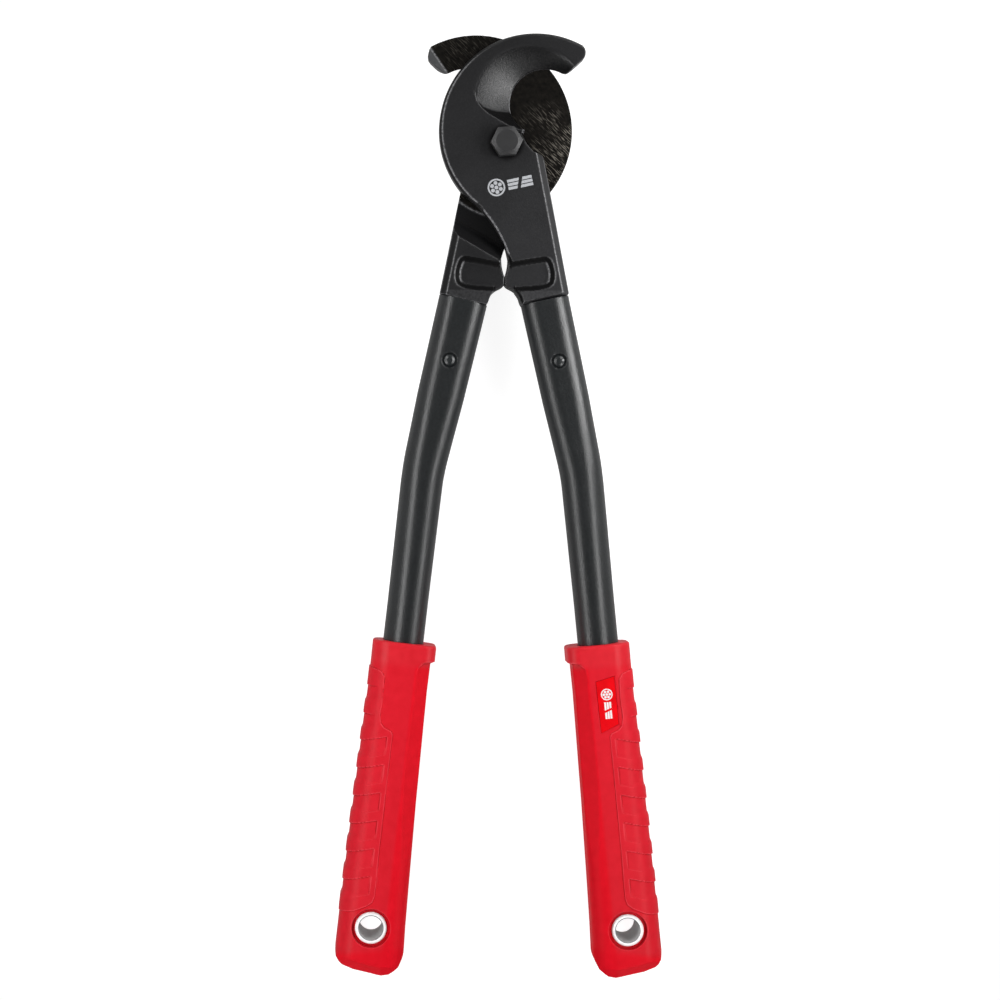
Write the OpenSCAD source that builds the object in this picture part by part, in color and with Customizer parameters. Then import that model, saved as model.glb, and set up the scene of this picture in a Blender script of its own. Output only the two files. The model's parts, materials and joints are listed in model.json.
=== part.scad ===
// Two-handed cable cutter: two identical forged jaws that cross on one pivot
// bolt, each on a flattened steel tube with a moulded grip.
// Frame: origin on the pivot axis at the plane where the jaws slide on each
// other. +Z is the bolt head's side, +Y points to the blades, the handles run
// towards -Y. Drawn closed, with the two stop lugs all but touching.
// The front arm has its blade at +Z and its handle at +X (right). The rear arm
// is the front arm turned half a turn about the Y axis.

/* [Jaws] */
// Thickness of one jaw at the pivot, mm
jaw_t = 8; // [7.5:0.1:8.5]
// Gap between the two ground sliding faces, mm
face_gap = 0.1; // [0.06:0.02:0.2]
// Radius of a jaw's round outer edge, mm
head_r = 44; // [43.5:0.1:44.5]
// Radius of the throat that takes the cable, mm
throat_r = 16.2; // [15.6:0.1:16.6]
// Radius of the spoon-shaped grind at the jaw's outer face, mm
grind_r = 26.5; // [25:0.1:27]
// Land left along the cutting edge, mm
edge_land = 0.4; // [0.3:0.05:0.8]
// Radius of the ground sliding disc around the pivot, mm
disc_r = 33.4; // [32:0.1:34]
// Depth of the as-forged face outside the ground disc, mm
disc_step = 0.45; // [0.2:0.05:0.8]
// Radius of the concave neck under the head, mm
neck_r = 56; // [55:0.1:56.5]
// Run of the ramp from the thin blade to the full shank, mm
ramp_run = 6.5; // [5:0.1:7.5]
// Depth of the forged pocket in each face of the shank, mm
pocket_d = 3; // [1.5:0.1:4]
// Distance of each stop lug from the centre plane when closed, mm
stop_gap = 0.05; // [0.03:0.01:0.2]

/* [Pivot] */
// Pivot bolt diameter, mm
bolt_d = 7.94; // [7.8:0.01:8]
// Radial clearance of the bolt in the jaws, mm
bolt_clear = 0.05; // [0.02:0.01:0.1]
// Bolt head and nut, across flats, mm
hex_af = 12.7; // [12:0.1:13.5]
// Height of the bolt head, mm
head_h = 5.5; // [4.5:0.1:6.5]

/* [Handles] */
// Width of the flattened tube at the jaw, mm
tube_w = 22.3; // [22:0.1:22.8]
// Thickness of the flattened tube at the jaw, mm
tube_h = 16.4; // [16.2:0.1:16.8]
// Diameter of the round tube below the bend, mm
tube_d = 18.5; // [18.2:0.1:18.8]
// Tube wall, mm
wall = 1.8; // [1.5:0.1:2]
// Splay of the upper tube from the centre line, degrees
upper_a = 12.7; // [12.5:0.1:12.9]
// Splay of the lower tube and the grip, degrees
lower_a = 6.1; // [6:0.1:6.2]

/* [Grips] */
// Length of the grip, mm
grip_l = 152.2; // [151.5:0.1:153]
// Thickness of the grip just below its collar, mm
grip_t = 23.5; // [22.8:0.1:24]
// Height of the collar at the top of the grip, mm
collar_h = 8.4; // [7:0.1:9]
// Spacing of the finger ridges, mm
ridge_p = 12.7; // [12.5:0.1:12.9]
// Depth of the finger ridges, mm
ridge_d = 0.8; // [0.4:0.1:1]
// Bore of the hanging sleeve, mm
hang_d = 10.9; // [10.6:0.1:11]
// Length of the hanging sleeve over its flanges, mm
hang_l = 23; // [22.6:0.1:23.2]
// Outside diameter of the sleeve flanges, mm
flange_d = 14.4; // [14.2:0.1:15]

/* [Hidden] */
$fn = 96;

fit = 0.05;    // gap between pieces that are fixed together
slice = 0.1;   // thickness of the thin sections that hulls run between
cut_h = 40;    // height of a cutter that passes through everything, centred on z = 0

upper_origin = [18.53, -71];     // tube mouth, on the upper axis
lower_origin = [44.04, -224.7];  // a point on the lower axis
rivet_dist = 28.8;               // rivet, down the upper axis from the mouth
hang_dist = 132.5;               // hanging hole, down the lower axis

steel = [0.13, 0.13, 0.14];
bolt_grey = [0.24, 0.24, 0.25];
washer_grey = [0.4, 0.4, 0.42];
spring_grey = [0.3, 0.3, 0.32];
nut_grey = [0.42, 0.42, 0.44];
insert_blue = [0.3, 0.45, 0.75];
coat = [0.17, 0.18, 0.19];
rivet_grey = [0.25, 0.25, 0.26];
red = [0.78, 0.06, 0.11];
plate = [0.75, 0.75, 0.76];
badge_red = [0.6, 0.03, 0.07];

module half_turn() { rotate([0, 180, 0]) children(); }

// Frames of the right handle: local -Y runs down the tube, +X faces outwards.
module upper() { translate([upper_origin.x, upper_origin.y, 0]) rotate([0, 0, upper_a]) children(); }
module lower() { translate([lower_origin.x, lower_origin.y, 0]) rotate([0, 0, lower_a]) children(); }
module at_rivet() { upper() translate([0, -rivet_dist, 0]) children(); }
module at_hang() { lower() translate([0, -hang_dist, 0]) children(); }

module both_faces() {
  for (side = [0, 1]) mirror([0, 0, side]) children();
}

module through_hole(d) { translate([0, 0, -cut_h / 2]) cylinder(d = d, h = cut_h); }

// ---------------------------------------------------------------- jaws

head_centre = [13.5, 6];
throat_centre = [18, 18.4];
grind_centre = [10, 19];      // at the outer face
neck_centre = [-51.9, -68.8];
shoulder = [2.9, -53.5];      // inner end of the shoulder line
shoulder_a = 29.5;            // slope of the shoulder line
tang_w = 13;
tang_h = 9.6;
tang_l = 44;                  // length inside the tube
tang_root = 4;                // length sunk into the shank
web_h = 2 * (jaw_t - pocket_d);
rivet_hole_d = 4.1;

// Outlines are tables of [x, y]. This one bounds the head; its round edge,
// throat and neck are cut by circles.
head_bounds = [
  [-40, 59], [33.9, 59], [33.98, 45.34], [35.2, 43.4], [35.7, 41.3],
  [35.45, 39.4], [34.5, 37.95], [32.1, 35.75], [29.95, 33.95], [28.6, 32.9],
  [27.4, 32.2], [26.1, 31.85], throat_centre,
  [7.8, 4.7], [10, 0.3], [13.1, -3.2], [16.7, -5.3], [17.1, -6.2],
  [24.2, -42], [-25, -46], [-40, -21]
];
shank_points = [
  [-16, -23], [0, -6], [17.1, -6.2], [22.1, -31.1], [25.8, -50.3], [29.3, -67.9],
  [28.9, -68.8], [8.1, -73.4], [7.6, -72], [6.2, -67.4], [4.4, -65], [2.1, -54]
];
stop_points = [
  [8, -52], [2.1, -54], [1.6, -55.8], [stop_gap, -61], [stop_gap, -63],
  [1.3, -63.9], [4.1, -66], [6.4, -68.1], [12, -68]
];
pocket_rim = [
  [-2, -55.8], [2.9, -54.8], [17.5, -51.9], [20.5, -52.8], [21.7, -55.3], [22.9, -60.4],
  [22.9, -63.9], [21.1, -66], [13.9, -68.6], [8.2, -68.6], [-2, -67.5]
];
pocket_floor = [
  [-2, -57], [3.1, -56.2], [17.4, -53.7], [18.8, -54], [20, -57.9], [20.3, -61.4],
  [19.4, -64.4], [8.7, -65.5], [-2, -65.5]
];
grind_bounds = [
  [-22, 23], [-15.5, 23], [-13.9, 18.8], [-11.2, 15.2], [-8.1, 12.7], [-2.8, 9.6],
  [0.3, 7.8], [6, 5.6], [26, 13], [40, 29], [40, 59], [-22, 59]
];

module neck_circle() { translate(neck_centre) circle(r = neck_r); }

module blade_outline() {
  difference() {
    union() {
      intersection() {
        translate(head_centre) circle(r = head_r);
        polygon(head_bounds);
      }
      polygon(shank_points);
    }
    translate(throat_centre) circle(r = throat_r);
    neck_circle();
  }
}

// Thin half of the jaw at +Z, stepped back outside the ground disc.
module blade() {
  difference() {
    translate([0, 0, face_gap / 2]) linear_extrude(jaw_t - face_gap / 2) blade_outline();
    difference() {
      translate([-30, -67, -1]) cube([70, 46, 1 + disc_step]);
      translate([0, 0, -2]) cylinder(r = disc_r, h = 4);
    }
  }
}

// Block below the shoulder line; its end ramps up to the as-forged face.
module shoulder_side() {
  top = 1.5;  // height to which it overlaps the blade
  translate([shoulder.x, shoulder.y, 0]) rotate([0, 0, shoulder_a]) rotate([90, 0, 90])
    translate([0, 0, -30]) linear_extrude(80)
      polygon([[ramp_run, top], [ramp_run, disc_step], [0, -jaw_t], [-60, -jaw_t], [-60, top]]);
}

// Part of the shank that reaches down to the other jaw's outer face.
module deep_shank() {
  intersection() {
    translate([0, 0, -jaw_t]) linear_extrude(2 * jaw_t)
      difference() {
        polygon(shank_points);
        neck_circle();
      }
    shoulder_side();
  }
}

module pocket() {
  hull() {
    translate([0, 0, jaw_t]) linear_extrude(1) polygon(pocket_rim);
    translate([0, 0, jaw_t - pocket_d]) linear_extrude(slice) polygon(pocket_floor);
  }
}

// Cutter that flares from the throat's edge to the outer face.
module spoon_grind() {
  intersection() {
    hull() {
      translate([throat_centre.x, throat_centre.y, edge_land])
        cylinder(r = throat_r + 0.3, h = 0.02, $fn = 64);
      translate([grind_centre.x, grind_centre.y, jaw_t]) cylinder(r = grind_r, h = 0.6, $fn = 64);
    }
    linear_extrude(jaw_t + 2) polygon(grind_bounds);
  }
}

module jaw() {
  difference() {
    union() {
      blade();
      deep_shank();
      translate([0, 0, -web_h / 2]) linear_extrude(web_h) polygon(stop_points);
      upper() translate([-tang_w / 2, -tang_l, -tang_h / 2])
        cube([tang_w, tang_l + tang_root, tang_h]);
    }
    through_hole(bolt_d + 2 * bolt_clear);
    spoon_grind();
    both_faces() pocket();
    at_rivet() through_hole(rivet_hole_d);
  }
}

module front_jaw() { color(steel) jaw(); }
module rear_jaw() { color(steel) half_turn() jaw(); }

// --------------------------------------------------------------- pivot

hex_ac = hex_af / cos(30);              // across corners
bolt_end = 20.5;                        // bolt's tip, below the sliding plane
washer_t = 1.6;
washer_z = -jaw_t - fit - washer_t;     // underside of the flat washer
spring_room = 1.4;                      // height allowed for the disc spring
spring_z = washer_z - fit - spring_room;
nut_h = 6;                              // height of the hexagon
nut_z = spring_z - fit - nut_h;         // lower end of the hexagon
nut_bore = bolt_d + 0.04;
insert_r = 5.2;
insert_t = 2;
insert_room = insert_t + 2 * fit;       // height of the insert's pocket

module pivot_bolt() {
  rim = hex_ac / 2 + 1;
  color(bolt_grey) union() {
    intersection() {
      translate([0, 0, jaw_t + fit]) rotate([0, 0, 4.5]) cylinder(d = hex_ac, h = head_h, $fn = 6);
      translate([0, 0, jaw_t + fit]) rotate_extrude()
        polygon([[0, 0], [rim, 0], [rim, head_h - 1.5], [4.9, head_h], [0, head_h]]);
    }
    translate([0, 0, -bolt_end]) cylinder(d = bolt_d, h = bolt_end + jaw_t + 0.5);
  }
}

module pivot_flat_washer() {
  color(washer_grey) translate([0, 0, washer_z]) difference() {
    cylinder(d = 17.5, h = washer_t);
    translate([0, 0, -1]) cylinder(d = 8.4, h = 4);
  }
}

module pivot_disc_spring() {
  color(spring_grey) translate([0, 0, spring_z]) rotate_extrude()
    polygon([[4.15, 0], [8, 0.55], [8, 1.35], [4.15, 0.8]]);
}

// Chamfered hexagon with a round collar below it that holds the insert.
module lock_nut_body() {
  rim = hex_ac / 2 + 0.6;
  color(nut_grey) translate([0, 0, nut_z]) difference() {
    union() {
      intersection() {
        cylinder(d = hex_ac, h = nut_h, $fn = 6);
        rotate_extrude()
          polygon([[0, 0], [6, 0], [rim, 1.1], [rim, 5.2], [6.2, nut_h], [0, nut_h]]);
      }
      translate([0, 0, -2.4]) cylinder(r = 5.9, h = 3);
    }
    translate([0, 0, -4]) cylinder(d = nut_bore, h = 12);
    translate([0, 0, -insert_room]) cylinder(r = insert_r + fit, h = insert_room);
    translate([0, 0, -3]) cylinder(r = 4.6, h = 2);
  }
}

module lock_nut_insert() {
  color(insert_blue) translate([0, 0, nut_z - insert_room + fit]) difference() {
    cylinder(r = insert_r, h = insert_t);
    translate([0, 0, -1]) cylinder(d = nut_bore, h = 4);
  }
}

// --------------------------------------------------------------- tubes

flat_end = 51;                   // end of the flattened length, down the upper axis
round_top = 67;                  // top of the round length, up the lower axis
tube_end = 149;                  // end of the tube, down the lower axis
blend_over = 0.12;               // oversize of the blend's end sections
rivet_seat_z = tube_h / 2 - 0.6;
sleeve_r = 6.8;                  // outside of the hanging sleeve
hang_hole_d = 2 * (sleeve_r + fit);

// Stadium section across the local Y axis at y.
module section(width, height, y) {
  for (side = [-1, 1])
    translate([side * (width - height) / 2, y, 0]) rotate([90, 0, 0])
      cylinder(d = height, h = slice, $fn = 32);
}

// Tube shape drawn in by inset: a flattened straight length from mouth_y on the
// upper axis, a blend through the bend, and a round length to end_y on the lower.
module tube_solid(inset, mouth_y, end_y) {
  width = tube_w - 0.3 - 2 * inset;
  height = tube_h + 0.1 - 2 * inset;
  round_d = tube_d - 2 * inset;
  upper() translate([0, mouth_y, 0]) rotate([90, 0, 0]) linear_extrude(mouth_y + flat_end)
    union() {
      square([width - height, height], center = true);
      for (side = [-1, 1]) translate([side * (width - height) / 2, 0]) circle(d = height);
    }
  hull() {
    upper() section(width + blend_over, height + blend_over, slice - flat_end);
    lower() section(round_d + blend_over + 0.02, round_d + blend_over, round_top - 1);
  }
  lower() translate([0, round_top, 0]) rotate([90, 0, 0])
    cylinder(d = round_d, h = round_top - end_y);
}

module tube() {
  difference() {
    tube_solid(0, -0.3, -tube_end);
    tube_solid(wall, 1, -tube_end - 1);
    at_rivet() through_hole(rivet_hole_d);
    both_faces() at_rivet() translate([0, 0, rivet_seat_z]) cylinder(d = 8.2, h = 3);
    at_hang() through_hole(hang_hole_d);
  }
}

module right_tube() { color(coat) tube(); }
module left_tube() { color(coat) half_turn() tube(); }

// Rivet with a domed head at each end.
module tang_rivet() {
  seat = rivet_seat_z + 0.02;
  at_rivet() rotate_extrude()
    polygon([
      [0, -seat - 1.3], [1.3, -seat - 1.1], [2.3, -seat - 0.6], [2.8, -seat], [2, -seat],
      [2, seat], [2.8, seat], [2.3, seat + 0.6], [1.3, seat + 1.1], [0, seat + 1.3]
    ]);
}

module right_tang_rivet() { color(rivet_grey) tang_rivet(); }
module left_tang_rivet() { color(rivet_grey) half_turn() tang_rivet(); }

// --------------------------------------------------------------- grips

grip_top = 3;                      // top of the grip, down the lower axis
ridge_top = 27.6;                  // first ridge, down the lower axis
ridge_x = 14.2;                    // outer side of the grip at the first ridge
ridge_drift = 0.19;                // outward shift from one ridge to the next
badge_seat_z = grip_t / 2 - 0.8;

// Grip sections: reach inwards, reach outwards, thickness over grip_t,
// y from the top of the grip, corner radius.
collar_stations = [
  [14.8, 13.8, 1.2, 0, 8],
  [15.1, 14.1, 1.2, -collar_h, 8]
];
body_stations = [
  [13.4, 14, 0, -collar_h + slice, 8],
  [13, 14.2, 0, -27.5, 8],
  [14, 15, 0.6, -73.5, 8],
  [15.5, 15.8, 1.8, -119.3, 8],
  [16, 15.4, 2, -146.4, 8],
  [11.2, 7.5, -4, -grip_l, 7]
];

// Rounded rectangle across the local Y axis at a station, raised by lift.
module slab(station, lift = 0) {
  radius = station[4];
  half_t = (grip_t + station[2]) / 2;
  for (x = [-station[0] + radius, station[1] - radius], z = [-half_t + radius, half_t - radius])
    translate([x, station[3] + lift, z]) rotate([90, 0, 0])
      cylinder(r = radius, h = slice, $fn = 24);
}

module grip_solid() {
  hull() {
    slab(collar_stations[0]);
    slab(collar_stations[1]);
  }
  // each length starts one slice higher, to overlap the one above
  for (i = [1 : len(body_stations) - 1])
    hull() {
      slab(body_stations[i - 1], slice);
      slab(body_stations[i]);
    }
}

// Sawtooth cutters for the finger ridges on the outer side.
module ridge_cuts() {
  for (i = [0 : 7]) {
    side_x = ridge_x + i * ridge_drift;
    translate([0, -ridge_top - i * ridge_p, -cut_h / 2]) linear_extrude(cut_h)
      polygon([[side_x - ridge_d, 0], [20, 1.2], [20, -ridge_p + 2], [side_x + 0.2, -ridge_p + 2]]);
  }
}

module grip() {
  difference() {
    lower() translate([0, -grip_top, 0]) grip_solid();
    lower() {
      translate([0, 1, 0]) rotate([90, 0, 0])
        cylinder(d = tube_d + 2 * fit, h = 1 + tube_end + 0.3);
      ridge_cuts();
      translate([0, 0, badge_seat_z]) linear_extrude(5) badge_outline(fit);
    }
    at_hang() {
      through_hole(hang_hole_d);
      // recesses for the sleeve flanges
      both_faces() translate([0, 0, hang_l / 2 - flange_t - fit]) cylinder(d = 17.5, h = 20);
    }
  }
}

module right_grip() { color(red) grip(); }
module left_grip() { color(red) half_turn() grip(); }

// Four-sided badge, each corner moved out by grow along x and y.
module badge_outline(grow) {
  polygon([
    [-3.6 - grow, -19.3 + grow], [4.9 + grow, -17.5 + grow],
    [4.9 + grow, -39.1 - grow], [-3.3 - grow, -42.6 - grow]
  ]);
}

module badge() {
  lower() translate([0, 0, badge_seat_z + fit]) linear_extrude(1) badge_outline(0);
}

module right_badge() { color(badge_red) badge(); }
module left_badge() { color(badge_red) half_turn() badge(); }

// ------------------------------------------------------ hanging sleeves

// A hollow screw and a hollow nut that clamp the grip. Profiles are [radius, z].
bore_r = hang_d / 2;
barrel_r = bore_r + 0.55;   // thin barrel of the screw, inside the nut
flange_r = flange_d / 2;
flange_t = 1;
edge_r = flange_r - 0.5;    // flange face inside its chamfer
edge_h = 0.4;               // height of the chamfer
sleeve_z = hang_l / 2;
joint_z = 2;                // where the screw's thick part meets the nut

module sleeve_bolt() {
  at_hang() rotate_extrude()
    polygon([
      [bore_r, sleeve_z], [bore_r, -sleeve_z], [barrel_r, -sleeve_z],
      [barrel_r, joint_z], [sleeve_r, joint_z], [sleeve_r, sleeve_z - flange_t],
      [flange_r, sleeve_z - flange_t], [flange_r, sleeve_z - edge_h], [edge_r, sleeve_z]
    ]);
}

module sleeve_nut() {
  nut_r = barrel_r + 0.02;
  at_hang() rotate_extrude()
    polygon([
      [nut_r, joint_z - fit], [nut_r, -sleeve_z], [edge_r, -sleeve_z],
      [flange_r, edge_h - sleeve_z], [flange_r, flange_t - sleeve_z],
      [sleeve_r, flange_t - sleeve_z], [sleeve_r, joint_z - fit]
    ]);
}

// The left sleeve is mirrored first, so that both screws enter from +Z.
module right_sleeve_bolt() { color(plate) sleeve_bolt(); }
module right_sleeve_nut() { color(plate) sleeve_nut(); }
module left_sleeve_bolt() { color(plate) half_turn() mirror([0, 0, 1]) sleeve_bolt(); }
module left_sleeve_nut() { color(plate) half_turn() mirror([0, 0, 1]) sleeve_nut(); }

front_jaw();
rear_jaw();
pivot_bolt();
pivot_flat_washer();
pivot_disc_spring();
lock_nut_body();
lock_nut_insert();
right_tube();
left_tube();
right_tang_rivet();
left_tang_rivet();
right_grip();
left_grip();
right_sleeve_bolt();
right_sleeve_nut();
left_sleeve_bolt();
left_sleeve_nut();
right_badge();
left_badge();
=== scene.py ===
"""A long-handled cable cutter lying flat. The pivot's axis is Z through the origin, the jaws
point to +Y and the handles to -Y. The front arm has the jaw above z = 0 and the right (+X)
handle; the rear arm is its copy, turned half a turn about Y.

Fields and outlines are in millimetres, and build() takes them to metres.
"""

import json
import math

import bpy
import numpy as np
from mathutils import Matrix, Vector
from numpy import maximum, minimum


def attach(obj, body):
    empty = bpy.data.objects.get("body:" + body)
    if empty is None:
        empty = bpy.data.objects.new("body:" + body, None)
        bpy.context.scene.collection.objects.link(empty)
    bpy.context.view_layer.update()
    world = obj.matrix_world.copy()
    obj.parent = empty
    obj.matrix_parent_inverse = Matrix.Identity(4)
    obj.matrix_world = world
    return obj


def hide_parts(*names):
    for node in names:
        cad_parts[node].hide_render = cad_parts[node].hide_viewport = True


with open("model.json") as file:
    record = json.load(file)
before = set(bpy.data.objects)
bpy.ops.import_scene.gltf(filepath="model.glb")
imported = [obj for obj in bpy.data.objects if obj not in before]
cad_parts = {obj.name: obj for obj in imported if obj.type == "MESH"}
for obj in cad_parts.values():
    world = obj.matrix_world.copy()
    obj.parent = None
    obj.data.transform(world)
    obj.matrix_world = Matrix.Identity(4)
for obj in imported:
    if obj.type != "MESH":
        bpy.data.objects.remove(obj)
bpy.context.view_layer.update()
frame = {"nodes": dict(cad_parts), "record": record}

MM = 0.001
PIVOT_Y = 1.0  # the outlines are drawn with the pivot axis this far above zero
PIVOT = (0.0, PIVOT_Y)

# Grid steps of the three contoured pieces
JAW_STEP = 0.41
TUBE_STEP = 0.6
GRIP_STEP = 0.48
MAX_TRIS = 190_000

BLOCK = 8           # grid steps along the side of a sampling block
FAR = 50.0          # stands for any value well away from the surface
PULL = 0.03         # how strongly a vertex is held to the mean of its cell's crossings
SHARP_ANGLE = 38    # degrees between faces, above which an edge is sharp

# The handle's two straight axes: where each starts, and its angle from -Y towards +X
UPPER = ((18.53, -70.0), math.radians(12.7))
LOWER = ((44.04, -223.7), math.radians(6.1))
# Holes in a handle's own axes, (across, down): the rivet on UPPER, the hanging hole on LOWER
RIVET = (0.0, 28.8)
RIVET_R = 2.05
HOLE = (0.0, 132.5)
HOLE_R = 6.85

# ------------------------------------------------------------------ fields
# Each shape is a signed field, negative inside. Maximum cuts and minimum joins.


def smax(first, second, radius):
    """Intersection with a round of about the radius."""
    blend = maximum(radius - np.abs(first - second), 0.0) / radius
    return maximum(first, second) + blend * blend * radius * 0.25


def smin(first, second, radius):
    return -smax(-first, -second, radius)


def clamp01(value):
    return np.clip(value, 0.0, 1.0)


def smooth(value):
    """A smooth step from 0 to 1."""
    value = clamp01(value)
    return value * value * (3 - 2 * value)


def bell(distance, width):
    return np.exp(-(distance / width) ** 2)


def poly(x, y, points):
    """Exact signed distance to a polygon."""
    shape = np.broadcast(x, y).shape
    nearest = np.full(shape, 1e9)
    sign = np.ones(shape)
    for i, (start_x, start_y) in enumerate(points):
        end_x, end_y = points[i - 1]
        edge_x, edge_y = end_x - start_x, end_y - start_y
        from_x, from_y = x - start_x, y - start_y
        along = clamp01((from_x * edge_x + from_y * edge_y) / (edge_x * edge_x + edge_y * edge_y))
        off_x, off_y = from_x - edge_x * along, from_y - edge_y * along
        nearest = minimum(nearest, off_x * off_x + off_y * off_y)
        above = y >= start_y
        below = y < end_y
        left = edge_x * from_y > edge_y * from_x
        flip = (above & below & left) | (~above & ~below & ~left)
        sign = np.where(flip, -sign, sign)
    return sign * np.sqrt(nearest)


def circ(x, y, centre, radius):
    return np.sqrt((x - centre[0]) ** 2 + (y - centre[1]) ** 2) - radius


def line_side(x, y, start, end):
    """Signed distance to the line from start to end, positive on its left."""
    edge_x, edge_y = end[0] - start[0], end[1] - start[1]
    return ((y - start[1]) * edge_x - (x - start[0]) * edge_y) / math.hypot(edge_x, edge_y)


def chamfer(side, top, width):
    """A 45 degree cut over the edge where two faces meet."""
    return (side + top + width) / 1.414


def bearing(x, y, centre):
    """Degrees from +X round a centre, 0 to 360."""
    return np.degrees(np.arctan2(y - centre[1], x - centre[0])) % 360


def to_axis(x, y, axis):
    """(across, down) of a point in the axes of a handle."""
    (origin_x, origin_y), angle = axis
    right, up = x - origin_x, y - origin_y
    return (right * math.cos(angle) + up * math.sin(angle),
            right * math.sin(angle) - up * math.cos(angle))


def from_axis(across, down, axis):
    (origin_x, origin_y), angle = axis
    return (origin_x + across * math.cos(angle) + down * math.sin(angle),
            origin_y + across * math.sin(angle) - down * math.cos(angle))


# --------------------------------------------------------- dual contouring


def differences(field, points, reach):
    """The field's change across each point, along the three axes."""
    return np.stack([field(*(points + shift).T) - field(*(points - shift).T)
                     for shift in reach * np.eye(3)], 1)


def normals_of(field, points, reach=0.01):
    slope = differences(field, points, reach)
    return slope / maximum(np.linalg.norm(slope, axis=1), 1e-9)[:, None]


def sample(field, low, blocks, step):
    """The field on the grid: true near the surface, FAR with the right sign elsewhere."""
    count = blocks * BLOCK + 1
    axes = [low[a] + step * np.arange(count[a]) for a in range(3)]
    middles = [low[a] + step * BLOCK * (np.arange(blocks[a]) + 0.5) for a in range(3)]
    middle = np.broadcast_to(field(*np.ix_(*middles)), tuple(blocks))
    fill = np.where(middle < 0, -FAR, FAR).astype(np.float32)
    values = np.full(count, FAR, np.float32)
    values[:-1, :-1, :-1] = fill.repeat(BLOCK, 0).repeat(BLOCK, 1).repeat(BLOCK, 2)
    # half a block's diagonal, with slack for fields that aren't true distances
    near = np.abs(middle) < BLOCK * step * 0.87 * 1.35 + 1.2
    # the near blocks of a column share their 2D work
    for i, j in np.ndindex(*blocks[:2]):
        layers = np.nonzero(near[i, j])[0]
        if not len(layers):
            continue
        spans = tuple(slice(first * BLOCK, end * BLOCK + 1)
                      for first, end in ((i, i + 1), (j, j + 1), (layers[0], layers[-1] + 1)))
        values[spans] = field(*np.ix_(*(axis[span] for axis, span in zip(axes, spans))))
    return values


def crossings(field, values, low, step):
    """Where grid edges cross the surface: points, normals, the four cells round each edge,
    and the same four in the order that turns their face outwards."""
    cells = np.array(values.shape) - 1
    stride = np.array([cells[1] * cells[2], cells[2], 1])
    points, normals, around, quads = [], [], [], []
    for a in range(3):
        low_part = [slice(None)] * 3
        high_part = [slice(None)] * 3
        low_part[a], high_part[a] = slice(0, -1), slice(1, None)
        starts, ends = values[tuple(low_part)], values[tuple(high_part)]
        index = np.argwhere((starts < 0) != (ends < 0))
        b, c = (a + 1) % 3, (a + 2) % 3
        inside = ((index[:, b] > 0) & (index[:, c] > 0)
                  & (index[:, b] < cells[b]) & (index[:, c] < cells[c]))
        index = index[inside]
        start_value = starts[tuple(index.T)].astype(float)
        end_value = ends[tuple(index.T)].astype(float)
        negative = start_value < 0
        start = low + step * index
        end = start + step * np.eye(3, dtype=int)[a]
        for _ in range(3):
            share = np.clip(start_value / (start_value - end_value), 0.05, 0.95)
            middle = start + (end - start) * share[:, None]
            value = field(middle[:, 0], middle[:, 1], middle[:, 2])
            same = (value < 0) == (start_value < 0)
            start = np.where(same[:, None], middle, start)
            start_value = np.where(same, value, start_value)
            end = np.where(same[:, None], end, middle)
            end_value = np.where(same, end_value, value)
        share = np.clip(start_value / (start_value - end_value + 1e-12), 0, 1)
        crossing = start + (end - start) * share[:, None]
        points.append(crossing)
        normals.append(normals_of(field, crossing))
        base = index @ stride
        ring = np.stack([base - stride[b] - stride[c], base - stride[c], base,
                         base - stride[b]], 1)
        around.append(ring)
        quads.append(np.where(negative[:, None], ring, ring[:, ::-1]))
    return [np.concatenate(part) for part in (points, normals, around, quads)]


def contour(field, low, high, step):
    """Vertices and quads of the field's zero surface, with its sharp edges kept."""
    low = np.array(low, float)
    blocks = np.ceil((np.array(high, float) - low) / (step * BLOCK)).astype(int)
    values = sample(field, low, blocks, step)
    points, normals, around, quads = crossings(field, values, low, step)
    cells, owner = np.unique(around.ravel(), return_inverse=True)
    owner = owner.reshape(around.shape)
    total = len(cells)
    # least squares: each vertex lies on the tangent planes of its cell's crossings
    count = np.zeros(total)
    mean = np.zeros((total, 3))
    matrix = np.zeros((total, 3, 3))
    target = np.zeros((total, 3))
    offset = np.einsum("ij,ij->i", points, normals)
    for k in range(4):
        cell = owner[:, k]
        count += np.bincount(cell, minlength=total)
        for a in range(3):
            mean[:, a] += np.bincount(cell, points[:, a], total)
            target[:, a] += np.bincount(cell, normals[:, a] * offset, total)
            for b in range(a, 3):
                matrix[:, a, b] += np.bincount(cell, normals[:, a] * normals[:, b], total)
                matrix[:, b, a] = matrix[:, a, b]
    mean /= count[:, None]
    rest = target - np.einsum("ijk,ik->ij", matrix, mean)
    matrix += np.eye(3) * (PULL * count)[:, None, None]
    vertices = mean + np.linalg.solve(matrix, rest[:, :, None])[:, :, 0]
    corner = low + step * np.stack(np.unravel_index(cells, tuple(blocks * BLOCK)), 1)
    vertices = np.clip(vertices, corner - 0.1 * step, corner + 1.1 * step)
    return vertices, np.searchsorted(cells, quads)


def convexity(field, points, reach):
    """How convex the surface is at each vertex, at the scale of reach."""
    bend = -6 * field(*points.T)
    for shift in reach * np.eye(3):
        bend = bend + field(*(points + shift).T)
        bend = bend + field(*(points - shift).T)
    return bend / reach


def crevice(field, points, heights=(0.35, 0.8, 1.6, 3.0)):
    """How much of the space over each vertex is filled by the piece itself, 0 to 1."""
    reach = 0.02
    slope = differences(field, points, reach) / (2 * reach)
    steepness = maximum(np.linalg.norm(slope, axis=1), 0.2)
    slope = slope / steepness[:, None]
    filled, weights = np.zeros(len(points)), 0.0
    for k, height in enumerate(heights):
        weight = 0.75 ** k
        above = points + slope * height
        filled += weight * clamp01(1.0 - field(*above.T) / (height * steepness))
        weights += weight
    return filled / weights


# ------------------------------------------------------------------ meshes


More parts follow.
